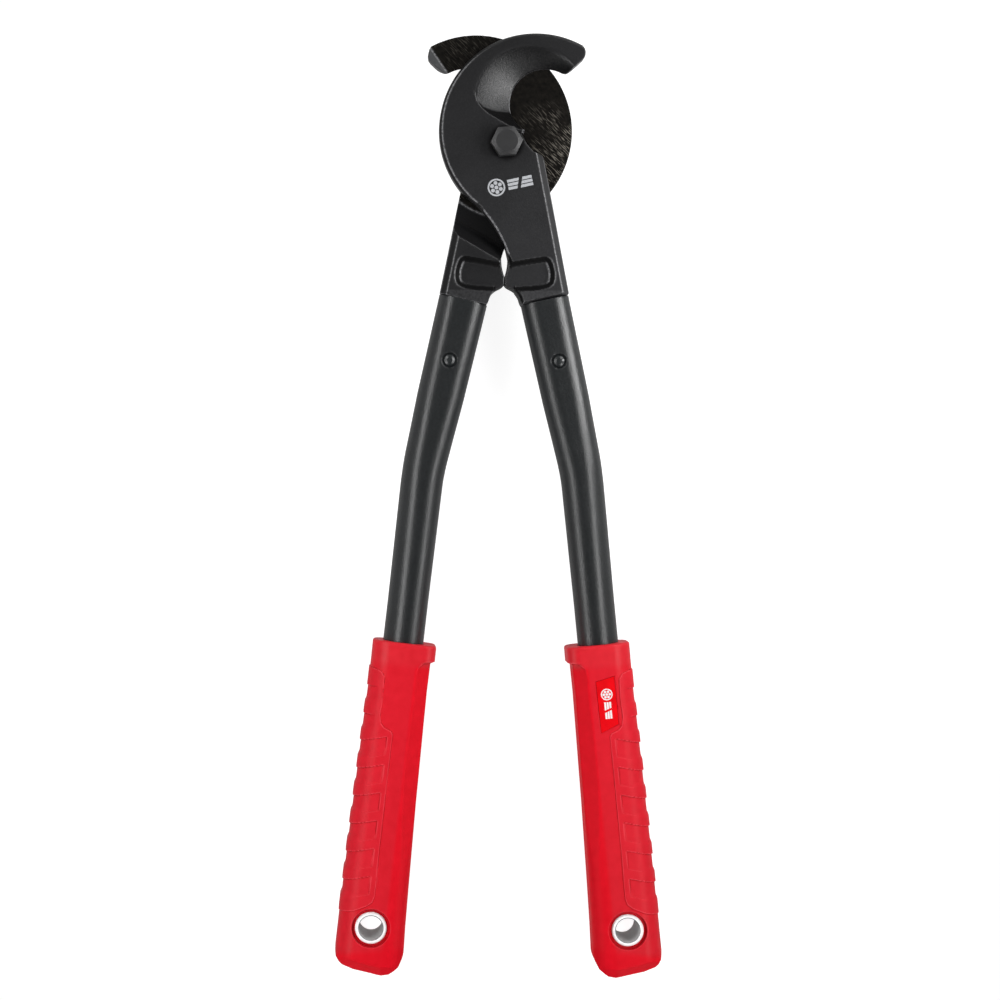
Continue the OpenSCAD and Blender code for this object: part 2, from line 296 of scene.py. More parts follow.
def build(name, points, quads, attributes):
    mesh = bpy.data.meshes.new(name)
    mesh.vertices.add(len(points))
    points = points - np.array([0.0, PIVOT_Y, 0.0])
    mesh.vertices.foreach_set("co", (points * MM).astype(np.float32).ravel())
    mesh.loops.add(quads.size)
    mesh.loops.foreach_set("vertex_index", quads.astype(np.int32).ravel())
    mesh.polygons.add(len(quads))
    mesh.polygons.foreach_set("loop_start", np.arange(0, quads.size, 4, dtype=np.int32))
    mesh.update(calc_edges=True)
    mesh.validate()
    mesh.polygons.foreach_set("use_smooth", np.ones(len(mesh.polygons), bool))
    for key, values in attributes.items():
        layer = mesh.attributes.new(key, "FLOAT", "POINT")
        layer.data.foreach_set("value", np.asarray(values, np.float32))
    mark_sharp(mesh)
    return add_object(name, mesh)


def add_object(name, data):
    ob = bpy.data.objects.new(name, data)
    bpy.context.scene.collection.objects.link(ob)
    return ob


def mark_sharp(mesh):
    """Marks the edges whose two faces meet at more than SHARP_ANGLE."""
    loop_edges = np.zeros(len(mesh.loops), np.int32)
    mesh.loops.foreach_get("edge_index", loop_edges)
    normals = np.zeros(len(mesh.polygons) * 3, np.float32)
    mesh.polygons.foreach_get("normal", normals)
    normals = normals.reshape(-1, 3)
    sides = np.zeros(len(mesh.polygons), np.int32)
    mesh.polygons.foreach_get("loop_total", sides)
    loop_faces = np.repeat(np.arange(len(mesh.polygons)), sides)
    order = np.argsort(loop_edges, kind="stable")
    edges, faces = loop_edges[order], loop_faces[order]
    every = np.arange(len(mesh.edges))
    first = np.searchsorted(edges, every)
    second = minimum(first + 1, len(edges) - 1)
    paired = edges[second] == every
    cosine = np.einsum("ij,ij->i", normals[faces[minimum(first, len(edges) - 1)]],
                       normals[faces[second]])
    sharp = paired & (cosine < math.cos(math.radians(SHARP_ANGLE)))
    layer = (mesh.attributes.get("sharp_edge")
             or mesh.attributes.new("sharp_edge", "BOOLEAN", "EDGE"))
    layer.data.foreach_set("value", sharp)


def decimate(ob):
    """Collapses flat areas until about MAX_TRIS triangles are left."""
    tris = sum(len(face.vertices) - 2 for face in ob.data.polygons)
    if tris <= MAX_TRIS:
        return
    ob.modifiers.new("dec", "DECIMATE").ratio = MAX_TRIS / tris
    graph = bpy.context.evaluated_depsgraph_get()
    mesh = bpy.data.meshes.new_from_object(
        ob.evaluated_get(graph), preserve_all_data_layers=True, depsgraph=graph)
    old = ob.data
    ob.modifiers.clear()
    ob.data = mesh
    mesh.name = old.name
    bpy.data.meshes.remove(old)


def both_arms(front_name, rear_name, points, quads, attributes):
    """The front arm's piece, and the rear arm's copy half a turn about the Y axis."""
    front = build(front_name, points, quads, attributes)
    decimate(front)
    mesh = front.data.copy()
    mesh.transform(Matrix.Rotation(math.pi, 4, "Y"))
    return front, add_object(rear_name, mesh)


# --------------------------------------------------------------------- jaw


def rounded(points, keep, times):
    """A closed outline with its corners cut to a curve; the points kept stay sharp."""
    fixed = {points[k] for k in keep}
    for _ in range(times):
        cut = []
        for i, here in enumerate(points):
            if here in fixed:
                cut.append(here)
                continue
            for other in (points[i - 1], points[(i + 1) % len(points)]):
                cut.append((here[0] + (other[0] - here[0]) * 0.25,
                            here[1] + (other[1] - here[1]) * 0.25))
        points = cut
    return points


# Circles: centre and radius
HEAD = ((13.5, 7.0), 43.98)      # outer edge of the head
THROAT = ((18.0, 19.4), 16.2)    # the round cutting throat
GRIND = ((10.0, 20.0), 26.5)     # rim of the spoon-shaped grind
NECK = ((-51.9, -67.8), 56.0)    # hollow on the left of the neck

THICK = 8.0      # top face of the forging, and its half thickness below the head
GAP = 0.05       # height of the sliding face
WEB_TOP = THICK - 3.0  # half thickness in the forged pockets
BORE_R = 4.02
GROUND_R = 33.4  # disc round the pivot that is ground flat, and where it ends below
GROUND_Y = -16.0
OUTER_EDGE = ((17.1, -5.2), (29.4, -66.9))  # right edge of the shank
RAMP_AT = (2.9, -52.5)
RAMP_TURN = math.radians(29.5)
TANG_HALF_W, TANG_HALF_T = 6.5, 4.8
TANG_START, TANG_END = -4.0, 44.0  # down the UPPER axis
TIP_Y = 31.0     # the tip's facet lies above this

# Outlines, (x, y). The head is the part of its circle inside HEAD_AREA.
HEAD_AREA = [
    (-40, 60), (33.9, 60), (33.98, 46.34), (35.2, 44.4), (35.7, 42.3), (35.45, 40.4),
    (34.5, 38.95), (32.1, 36.75), (29.95, 34.95), (28.6, 33.9), (27.4, 33.2), (26.1, 32.85),
    (18, 19.4), (7.8, 5.7), (10, 1.3), (13.1, -2.2), (16.7, -4.3), (17.1, -5.2),
    (24.2, -41), (-25, -45), (-40, -20)]
# Limit of the spoon grind
SPOON = [
    (-24, 24.6), (-15.5, 24.0), (-13.9, 19.8), (-11.2, 16.2), (-8.1, 13.7), (-2.8, 10.6),
    (0.3, 8.8), (6, 6.6), (27, 14), (44, 26), (44, 62), (-24, 62)]
SHANK = [
    (-16, -22), (0, -5), (17.1, -5.2), (22.1, -30.1), (25.8, -49.3), (29.3, -66.9),
    (28.9, -67.8), (8.1, -72.6), (7.45, -71.2), (6.9, -69.4), (6.1, -67.95), (5.2, -66.9),
    (4.4, -64), (2.1, -53)]
# The thin web of the stop lug, and the floor of the forged pockets
WEB = rounded([
    (9, -50), (1.75, -51.0), (1.62, -52.2), (1.6, -53.1), (1.39, -55.2), (0.92, -57.35),
    (0.35, -59.25), (0.05, -60.1), (0.05, -63.2), (0.54, -63.98), (1.76, -64.86),
    (3.36, -65.6), (4.9, -66.65), (6.0, -67.95), (6.8, -69.4), (7.3, -71.2), (12, -70),
], keep=(0, 7, 8, 16), times=1)
POCKET = rounded([
    (-4, -56.8), (3.1, -55.7), (17.4, -53.1), (18.8, -53.3), (20, -56.9), (20.3, -60.0),
    (19.4, -62.9), (8.7, -64.4), (-4, -64.4),
], keep=(0, 8), times=2)


def spoon_floor(grind, throat):
    """Height of the spoon's floor: the top face at its rim, falling towards the throat."""
    inward = maximum(-grind, 0.0)
    share = inward / (inward + maximum(throat, 0.0) + 1e-6)
    return THICK - 7.5 * share ** 1.45


def tip_across(x, y):
    """Distance across the tip's slanting edge."""
    return (x - 34.65) * 0.825 + (y - 44.73) * -0.57


def jaw_field(x, y, z):
    head = circ(x, y, *HEAD)
    neck = circ(x, y, *NECK)
    throat = circ(x, y, *THROAT)
    area = poly(x, y, HEAD_AREA)
    shank = poly(x, y, SHANK)
    abs_z = np.abs(z)
    from_pivot = circ(x, y, PIVOT, 0.0)
    outline = maximum(minimum(maximum(head, area), shank), -neck)
    outline = smax(outline, -throat, np.where(x > 21.0, 1.5, 0.25))
    # underside: a thin blade at the head, the full forging below the ramp
    relief = maximum(maximum(z - 0.5, GROUND_R - from_pivot), y - GROUND_Y)
    sliding = maximum(GAP - z, -relief)
    up_ramp = ((x - RAMP_AT[0]) * -math.sin(RAMP_TURN)
               + (y - RAMP_AT[1]) * math.cos(RAMP_TURN))
    ramp = (1.3 * up_ramp - 8.0 - z) / 1.64
    under = smin(sliding, smax(ramp, -THICK - z, 0.8), 1.5)
    body = smax(outline, z - THICK, 0.5)
    body = smax(body, under, 0.35)
    # drafted outer edge of the head, wide bevels down the shank's outer edge
    edge = minimum(head, shank)
    body = smax(body, (edge * 2.0 + (z - THICK) * 1.3 + 2.6) / 2.385, 0.35)
    right = line_side(x, y, *OUTER_EDGE) - 3.0 * maximum(y + 3.0, 0.0)
    body = smax(body, chamfer(right, abs_z - THICK, 3.0), 0.35)
    # narrow edge breaks along the neck, and from the throat to the shank
    body = smax(body, chamfer(-neck, abs_z - THICK, 0.6), 0.2)
    nib = smin(area, shank, 0.01)
    body = smax(body, (nib + (z - THICK) + 0.7 - 4.0 * maximum(y - 9.0, 0.0)) / 1.414, 0.2)
    # the nib's side is drafted
    draft = (nib + 0.15 * z - 0.35 * maximum(-3.0 - y, 0.0) - 4.0 * maximum(y - 5.2, 0.0)) * 0.9
    body = smax(body, draft, 0.5)
    # spoon grind, with a sloping wall
    grind = circ(x, y, *GRIND)
    wall = (poly(x, y, SPOON) * 1.05 + (THICK - z)) / 1.45
    dish = maximum(spoon_floor(grind, throat) - z, minimum(grind, 0.0))
    body = smax(body, -(smax(dish, wall, 0.7) * 0.72), 0.3)
    # facet across the tip on the sliding side
    across = tip_across(x, y) - 3.0 * maximum(TIP_Y - y, 0.0)
    body = smax(body, (0.8 * across - (z - GAP)) / 1.28, 0.25)
    # forged pockets in both faces, with the stop lug's web between them
    pocket = smax((poly(x, y, POCKET) - (abs_z - WEB_TOP) * 0.85) / 1.31, WEB_TOP - abs_z, 0.8)
    body = smax(body, -pocket, 0.7)
    body = minimum(body, smax(poly(x, y, WEB), abs_z - WEB_TOP, 0.9))
    body = maximum(body, BORE_R - from_pivot)
    # tang with its rivet hole
    across, down = to_axis(x, y, UPPER)
    tang = maximum(maximum(np.abs(across) - TANG_HALF_W, abs_z - TANG_HALF_T),
                   maximum(down - TANG_END, TANG_START - down))
    return minimum(body, maximum(tang, -circ(across, down, RIVET, RIVET_R)))


def jaw_finish(points):
    """Where the forging's edges are worn bright and carry painted highlights, where painted
    highlight lines run, where painted shade darkens hollows and walls, and where it is freshly
    ground or dimpled.
    """
    x, y, z = points.T
    normal_z = normals_of(jaw_field, points, 0.05)[:, 2]
    abs_z, level = np.abs(z), np.abs(normal_z)
    from_pivot = circ(x, y, PIVOT, 0.0)
    head = circ(x, y, *HEAD)
    throat = circ(x, y, *THROAT)
    grind = circ(x, y, *GRIND)
    pocket = poly(x, y, POCKET)
    throat_turn = bearing(x, y, THROAT[0])
    head_turn = bearing(x, y, HEAD[0])
    across = tip_across(x, y)
    right = line_side(x, y, *OUTER_EDGE)
    # the hammered floor of the spoon, and its steep lower wall, which gets painted shade
    spoon = clamp01(-grind / 2.5) * (z < 7.6) * (z > 0.6) * (level > 0.4) * (y > 6)
    steep = (smooth((z - spoon_floor(grind, throat) - 0.05) / 0.5) * (grind < -0.3)
             * (z < 7.75) * (z > 0.4) * (poly(x, y, SPOON) < 0.3))
    under = ((z < 0.9) & (z > -7.5) & (normal_z < -0.3) & (y < GROUND_Y)
             & (from_pivot > 33.2) & (pocket > 3.0))
    pocket_wall = (abs_z > 5.25) & (abs_z < 7.75) & (pocket < 3.4) & (level < 0.93)
    shank_side = (level < 0.6) & (x < 9) & (y < -44) & (y > -76)
    head_side = (head > -1.62) & (level < 0.75) & (y > -24)
    # painted shade: hollows, pocket and side walls, the recess under the front jaw, round the
    # bolt's head, the spoon's steep wall and its far end
    painted_shade = np.maximum.reduce([
        crevice(jaw_field, points),
        0.33 * under,
        0.42 * pocket_wall,
        0.42 * shank_side,
        0.36 * head_side,
        0.42 * clamp01((9.4 - from_pivot) / 2.6) * (z > 7.9),  # shade round the bolt's head
        0.42 * steep,
        0.30 * spoon * smooth((168 - throat_turn) / 50),       # the spoon's far end
    ])
    # the painted highlight on the pocket's rim fades where the rim runs along X
    facing_x = np.abs(poly(x + 0.2, y, POCKET) - poly(x - 0.2, y, POCKET)) / 0.4
    facet = ((np.abs(0.8 * across - (z - GAP)) < 0.06) & (y > TIP_Y) & (level < 0.93))
    neck_break = ((np.abs(chamfer(-circ(x, y, *NECK), abs_z - THICK, 0.6)) < 0.1)
                  & (abs_z > 7.2) & (level < 0.97))
    lip = bell(throat, 0.30) * smooth((throat_turn - 150) / 25) * (throat_turn < 262)
    creases = (0.7 * bell(right + 3.0, 0.24) * (abs_z > 7.55)
               + 0.7 * bell(right, 0.3) * (abs_z > 4.9) * (abs_z < 5.6))
    head_left = smooth((head_turn - 120) / 30) * (head_turn < 232)
    # painted highlights: bright lines on the pocket rims, the ground disc's edge, the cutting edge,
    # the tip, the neck, the shank's creases and lower end
    line = np.maximum.reduce([
        bell(pocket - 0.25, 0.32) * facing_x ** 2 * ((abs_z > 5.02) & (abs_z < 5.9)),
        0.55 * bell(pocket - 2.8, 0.28) * facing_x ** 2 * (x > 6) * (abs_z > 7.6),
        0.07 * ((abs_z > 7.2) & (y < -66.3)),                  # the shank's lower end
        0.75 * bell(from_pivot - GROUND_R, 0.35) * ((z < 0.55) & (y < GROUND_Y)),
        1.2 * lip * (z < 1.1),                                 # the cutting edge
        0.9 * bell(across + 0.05, 0.32) * ((y > TIP_Y) & (z < 0.35)),
        0.75 * neck_break,
        creases * ((y < -3) & (y > -70)),
        0.8 * head_left * bell(head + 1.3, 0.3) * (z > 7.5),
    ])
    return {"wear_and_highlight": convexity(jaw_field, points, 0.3), "painted_shade": painted_shade, "line": line,
            "facet": facet * 1.0, "spoon": spoon}


def jaws():
    points, quads = contour(jaw_field, (-33, -117, -9), (38, 54, 9), JAW_STEP)
    front, rear = both_arms("front_jaw_forging", "rear_jaw_forging",
                            points, quads, jaw_finish(points))
    # the rear forging gets painted shade all over, a little darker than the front one
    layer = rear.data.attributes["painted_shade"].data
    values = np.zeros(len(rear.data.vertices), np.float32)
    layer.foreach_get("value", values)
    layer.foreach_set("value", maximum(values, 0.19))
    return front, rear


# -------------------------------------------------------------------- tube

# The centre line bends from the UPPER axis to the LOWER one
CORNER_DOWN = 80.2  # where the straight axes would meet, down the upper one
BEND_R = 137.0
BEND = UPPER[1] - LOWER[1]
TANGENT = BEND_R * math.tan(BEND / 2)
CORNER = from_axis(0, CORNER_DOWN, UPPER)
BEND_START = CORNER_DOWN - TANGENT
# the bend's centre is on the inner (-X) side
BEND_C = (CORNER[0] - TANGENT * math.sin(UPPER[1]) - BEND_R * math.cos(UPPER[1]),
          CORNER[1] + TANGENT * math.cos(UPPER[1]) - BEND_R * math.sin(UPPER[1]))
TUBE_WALL = 1.8
TUBE_TOP = 0.3
TUBE_END = 149.0  # down the LOWER axis
DIMPLE_R, DIMPLE_DEPTH = 2.85, 0.95
# distance down the tube, width, height
TUBE_DOWN, TUBE_W, TUBE_H = np.array([
    (0, 22.3, 16.4), (30, 21.7, 16.8), (46, 21.4, 17.0), (64, 20.3, 17.6),
    (83, 19.3, 18.2), (111, 18.9, 18.5), (140, 18.5, 18.5), (400, 18.5, 18.5)]).T


def along_tube(x, y):
    """(across, down) along the bent centre line."""
    upper_across, upper_down = to_axis(x, y, UPPER)
    lower_across, lower_down = to_axis(x, y, (CORNER, LOWER[1]))
    turn = UPPER[1] - np.arctan2(y - BEND_C[1], x - BEND_C[0])
    bending = (turn > 0) & (turn < BEND)
    lower = turn >= BEND
    across = np.where(lower, lower_across,
                      np.where(bending, circ(x, y, BEND_C, BEND_R), upper_across))
    down = np.where(lower, BEND_START + BEND_R * BEND + (lower_down - TANGENT),
                    np.where(bending, BEND_START + BEND_R * turn, upper_down))
    return across, down


def tube_section(across, down, z, inset):
    """Flat broad faces at the jaw end, round further down."""
    width = np.interp(down, TUBE_DOWN, TUBE_W) - 2 * inset
    height = np.interp(down, TUBE_DOWN, TUBE_H) - 2 * inset
    flat = maximum(width - height, 0.0) / 2
    beyond = maximum(np.abs(across) - flat, 0.0)
    return np.sqrt(beyond * beyond + z * z) - height / 2


def tube_field(x, y, z):
    across, down = along_tube(x, y)
    lower_across, lower_down = to_axis(x, y, LOWER)
    outer = tube_section(across, down, z, 0.0)
    # pressed dimple round the rivet
    from_rivet = circ(across, down, RIVET, 0.0)
    outer = outer + DIMPLE_DEPTH * (1 - smooth(from_rivet - DIMPLE_R)) * (np.abs(z) > 3)
    body = smax(outer, -tube_section(across, down, z, TUBE_WALL), 0.25)
    body = smax(body, -(down - TUBE_TOP), 0.35)
    body = smax(body, lower_down - TUBE_END, 0.3)
    body = maximum(body, -(from_rivet - RIVET_R))
    return maximum(body, -circ(lower_across, lower_down, HOLE, HOLE_R))


def tubes():
    points, quads = contour(tube_field, (5, -374, -10.5), (72, -66, 10.5), TUBE_STEP)
    return both_arms("right_handle_tube", "left_handle_tube", points, quads,
                     {"wear_and_highlight": convexity(tube_field, points, 0.5)})


# -------------------------------------------------------------------- grip
# In the LOWER axes: across (positive outwards), down the handle, z through it.

# distance down, half width on the inner side and on the outer side, half thickness
GRIP_DOWN, GRIP_INNER, GRIP_OUTER, GRIP_THICK = np.array([
    (0, 14.9, 14.1, 11.75), (10, 15.0, 14.0, 11.75), (11, 13.1, 13.95, 11.75),
    (24, 13.0, 13.95, 11.75), (45, 13.35, 14.35, 11.9), (74, 13.9, 14.7, 12.2),
    (92, 14.45, 14.9, 12.4), (114, 15.1, 15.05, 12.65), (131, 15.65, 15.05, 12.8),
    (144, 16.3, 15.05, 12.85), (158, 16.9, 15.0, 12.85)]).T
# distance down, corner radius on the inner side
ROUND_DOWN, ROUND_R = np.array([(0, 5.6), (60, 5.6), (115, 7.6), (160, 7.8)]).T
OUTER_ROUND = 8.6
# distance down, place across of the inner facets' crease
CREASE_DOWN, CREASE = np.array([
    (10, -7.2), (16.8, -7.2), (27, -7.5), (43, -6.9), (72, -6.9), (105, -7.4)]).T
# Outlines, (across, down): the raised outer pad
PAD = [
    (40, 13.6), (11.9, 15.7), (8.6, 16.6), (7.0, 18.9), (6.6, 27), (6.9, 36.4), (6.1, 40),
    (4.4, 41.8), (1.2, 43), (0.3, 44.6), (0.4, 60), (0.3, 80), (0.3, 97), (0.0, 110.5),
    (0.0, 118), (0.8, 120.8), (3.2, 122.8), (8.9, 125.6), (15.4, 127), (40, 128.4)]
# the area of the inner facets
FACET = [
    (-40, 10.6), (-15.2, 10.4), (-13.4, 10.3), (-10.1, 11.0), (-7.9, 13.0), (-7.2, 16.8),
    (-3, 20), (-3, 125), (-40, 125)]
# the whole grip at its blunt end, and the flat face inside the end's bevel
END_OUTLINE = [
    (-40, -20), (40, -20), (40, 140.2), (15.7, 144.6), (14.4, 148.1), (11.1, 151.1),
    (5.9, 152.7), (-1.4, 153.5), (-7.1, 154.3), (-10.5, 153.3), (-14.4, 149.3),
    (-16.8, 143.7), (-40, 119.2)]
END_FACE = [
    (-40, -20), (40, -20), (40, 133.2), (15.2, 143.9), (11.5, 146.5), (4.7, 148.2),
    (-5.4, 149.6), (-10.8, 148.8), (-16.15, 142.4), (-40, 119.2)]
# the badge's seat: the badge with a gap all round
SEAT_GAP = 0.12
SEAT = [(-3.6 - SEAT_GAP, 19.3 - SEAT_GAP), (4.9 + SEAT_GAP, 17.5 - SEAT_GAP),
        (4.9 + SEAT_GAP, 39.1 + SEAT_GAP), (-3.3 - SEAT_GAP, 42.6 + SEAT_GAP)]
SEAT_Z = 10.95
# distances down of the finger ridges, full and short, at RIDGE_AT across
RIDGES = [49.1, 61.85, 74.5, 87.15, 99.9, 112.5]
SHORT_RIDGES = [24.0, 36.8]
RIDGE_AT = 14.8
MOUTH = 2.95
SOCKET_R, SOCKET_END = 9.3, 149.3
COUNTERBORE_R, COUNTERBORE_Z = 8.75, 10.45


def grip_base(across, down, z):
    inner = np.interp(down, GRIP_DOWN, GRIP_INNER)
    outer = np.interp(down, GRIP_DOWN, GRIP_OUTER)
    thick = np.interp(down, GRIP_DOWN, GRIP_THICK)
    corner = np.where(across < 0, np.interp(down, ROUND_DOWN, ROUND_R), OUTER_ROUND)
    middle = (outer - inner) / 2
    half = (inner + outer) / 2
    side = np.abs(across - middle) - (half - corner)
    top = np.abs(z) - (thick - corner)
    return (np.sqrt(maximum(side, 0) ** 2 + maximum(top, 0) ** 2)
            + minimum(maximum(side, top), 0) - corner)


def finger_cells(across, down):
    """Depth, 0 to 1, of the cells sunk into the pad below each ridge."""
    cells = 0.0
    slant = (across - RIDGE_AT) * 0.285
    for ridge in RIDGES:
        past = down - (ridge + slant)
        soft = 1 - smooth((past - 5.4) / 2.6)
        hard = 1 - 0.35 * smooth((past - 4.0) / 3.6) - 0.65 * smooth((past - 7.8) / 0.5)
        outward = smooth((across - 8.5) / 3.0)
        cells = cells + (smooth((past + 0.11) / 0.22) * (outward * soft + (1 - outward) * hard)
                         * smooth((across - 2.6) / 0.3))
    for ridge in SHORT_RIDGES:
        past = down - (ridge + (across - RIDGE_AT) * 0.06)
        cells = cells + (0.9 * smooth((past + 0.13) / 0.26) * (1 - smooth((past - 5.6) / 2.4))
                         * smooth((across - 8.6) / 3.0))
    return cells


def grip_field(across, down, z):
    abs_z = np.abs(z)
    body = grip_base(across, down, z)
    thick = np.interp(down, GRIP_DOWN, GRIP_THICK)
    # inner facets: stepped down from the collar, fading out down the handle
    crease = np.interp(down, CREASE_DOWN, CREASE)
    fade = 1.9 * smooth((down - 58) / 60)
    facet = (0.74 * (crease - across) + (abs_z - thick)) / 1.244 - fade
    body = smax(body, smin(facet, -poly(across, down, FACET), 0.35), 0.35)
    # raised outer pad with its finger cells, which are deeper towards the outside
    pad = poly(across, down, PAD)
    cell_depth = 0.36 + 0.24 * smooth((across - 10.5) / 3.5)
    body = (body - 0.45 * smooth((0.22 - pad) / 0.44)
            + cell_depth * finger_cells(across, down) * (pad < 0.3))
    # rounded mouth, blunt end with bevelled faces
    body = smax(body, MOUTH - down, 1.3)
    body = smax(body, poly(across, down, END_OUTLINE), 1.2)
    body = smax(body, chamfer(poly(across, down, END_FACE), abs_z - thick, 0.0), 0.5)
    # socket for the tube, hanging hole with its counterbore
    socket = maximum(circ(across, z, (0.0, 0.0), SOCKET_R), down - SOCKET_END)
    body = smax(body, -socket, 0.4)
    body = maximum(body, -circ(across, down, HOLE, HOLE_R))
    counterbore = maximum(circ(across, down, HOLE, COUNTERBORE_R), COUNTERBORE_Z - abs_z)
    return smax(body, -counterbore, 0.4)


def grip_with_seat(across, down, z):
    seat = maximum(poly(across, down, SEAT), SEAT_Z - z)
    return smax(grip_field(across, down, z), -seat, 0.25)


def grips():
    points, quads = contour(grip_with_seat, (-18.5, 0.5, -14.5), (17.5, 158, 14.5), GRIP_STEP)
    across, down, z = points.T
    # glossiest at the collar, dull on the inner facets and at the blunt end
    sheen = 0.16 + 0.13 * smooth((15 - down) / 4)
    sheen = sheen * (1 - 0.75 * smooth((-5.5 - across) / 1.8) * smooth((down - 11) / 3))
    sheen = sheen * (1 - 0.75 * smooth((down - 141 - 0.2 * across) / 4))
    finish = {
        "wear_and_highlight": convexity(grip_field, points, 0.35),
        "zone": clamp01((0.4 - poly(across, down, PAD)) / 0.6),
        "painted_shade": crevice(grip_with_seat, points, (0.25, 0.6, 1.2)),
        "sheen": sheen,
    }
    x, y = from_axis(across, down, LOWER)
    # the grip's own axes are left-handed, so the quads turn round
    return both_arms("right_moulded_grip", "left_moulded_grip",
                     np.stack([x, y, z], 1), quads[:, ::-1], finish)


# ------------------------------------------------------------------ prints

PRINT_PROUD, PRINT_SUNK = 0.03, 0.3
BADGE_TOP = 12.0
CABLE_X, CABLE_R, SHEATH_R = -6.5, 4.0, 3.25
STRAND_R, STRAND_RING = 0.88, 2.08  # a strand's radius, and that of the ring they lie on


def disc_points(centre, radius, count):
    return [(centre[0] + radius * math.cos(2 * math.pi * k / count),
             centre[1] + radius * math.sin(2 * math.pi * k / count)) for k in range(count)]


def cable_mark():
    """A stranded cable seen end on, and the same cable cut through: 21 mm long, 8 mm high.
    Each shape is an outline, or an outline and its hole."""
    centre = (CABLE_X, 0)
    shapes = [(disc_points(centre, CABLE_R, 56), disc_points(centre, SHEATH_R, 56)),
              (disc_points(centre, STRAND_R, 20),)]
    for k in range(6):
        turn = math.radians(30 + 60 * k)
        strand = (CABLE_X + STRAND_RING * math.cos(turn), STRAND_RING * math.sin(turn))
        shapes.append((disc_points(strand, STRAND_R, 20),))
    # three strands with a slanting cut between the two ends
    for low in (-2.35, -0.65, 1.05):
        high = low + 1.3
        low_cut, high_cut = low * 0.35, high * 0.35
        shapes.append(([(-1.2, low), (3.6 + low_cut, low), (3.6 + high_cut, high),
                        (-1.2, high)],))
        shapes.append(([(5.2 + low_cut, low), (10.2, low), (10.2, high),
                        (5.2 + high_cut, high)],))
    return shapes


def placing(centre, degrees, scale, axis=None):
    """A function that takes the mark's points to (x, y), by way of a handle's axis if given."""
    cosine, sine = math.cos(math.radians(degrees)), math.sin(math.radians(degrees))

    def place(x, y):
        spot = (centre[0] + scale * (x * cosine - y * sine),
                centre[1] + scale * (x * sine + y * cosine))
        return from_axis(*spot, axis) if axis else spot

    return place


def cable_print(name, top, place):
    """The cable mark as a thin raised print on the face at height top."""
    points, faces = [], []
    for loops in cable_mark():
        count = len(loops[0])
        base = len(points)
        for loop in loops:
            for height in (top + PRINT_PROUD, top - PRINT_SUNK):
                points += [(*place(x, y), height) for x, y in loop]
        # rows of points: outline top, outline bottom, hole top, hole bottom
        one, two, three = base + count, base + 2 * count, base + 3 * count
        around = [(k, (k + 1) % count) for k in range(count)]
        if len(loops) == 2:
            for k, j in around:
                faces += [(base + k, base + j, two + j, two + k),
                          (one + k, three + k, three + j, one + j),
                          (two + k, two + j, three + j, three + k)]
        else:
            faces += [tuple(base + k for k in range(count)),
                      tuple(one + k for k in reversed(range(count)))]
        faces += [(base + k, one + k, one + j, base + j) for k, j in around]
    mesh = bpy.data.meshes.new(name)
    mesh.from_pydata([(x * MM, (y - PIVOT_Y) * MM, z * MM) for x, y, z in points], [], faces)
    mesh.validate()
    mesh.update()
    return add_object(name, mesh)


# ------------------------------------------------------------------ pieces

front_jaw, rear_jaw = jaws()
right_tube, left_tube = tubes()
right_grip, left_grip = grips()
jaw_mark = cable_print("jaw_print", THICK, placing((2.0, -18.2), degrees=12.5, scale=1.0))
badge_mark = cable_print("badge_print", BADGE_TOP,
                         placing((0.75, 29.6), degrees=90, scale=0.66, axis=LOWER))

# piece, the node it replaces, the body it rides, its material slot
PIECES = (
    (front_jaw, "front_jaw", "front_arm", "forged_steel"),
    (rear_jaw, "rear_jaw", "rear_arm", "forged_steel"),
    (right_tube, "right_tube", "front_arm", "powder_coat"),
    (left_tube, "left_tube", "rear_arm", "powder_coat"),
    (right_grip, "right_grip", "front_arm", "grip_red"),
    (left_grip, "left_grip", "rear_arm", "grip_red"),
)
for piece, node_name, body_name, slot_name in PIECES:
    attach(piece, body_name)
    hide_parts(node_name)

for piece in (jaw_mark, badge_mark):
    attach(piece, "front_arm")

# --------------------------------------------------------------- materials
# Lengths in the materials and on the stage are in metres.


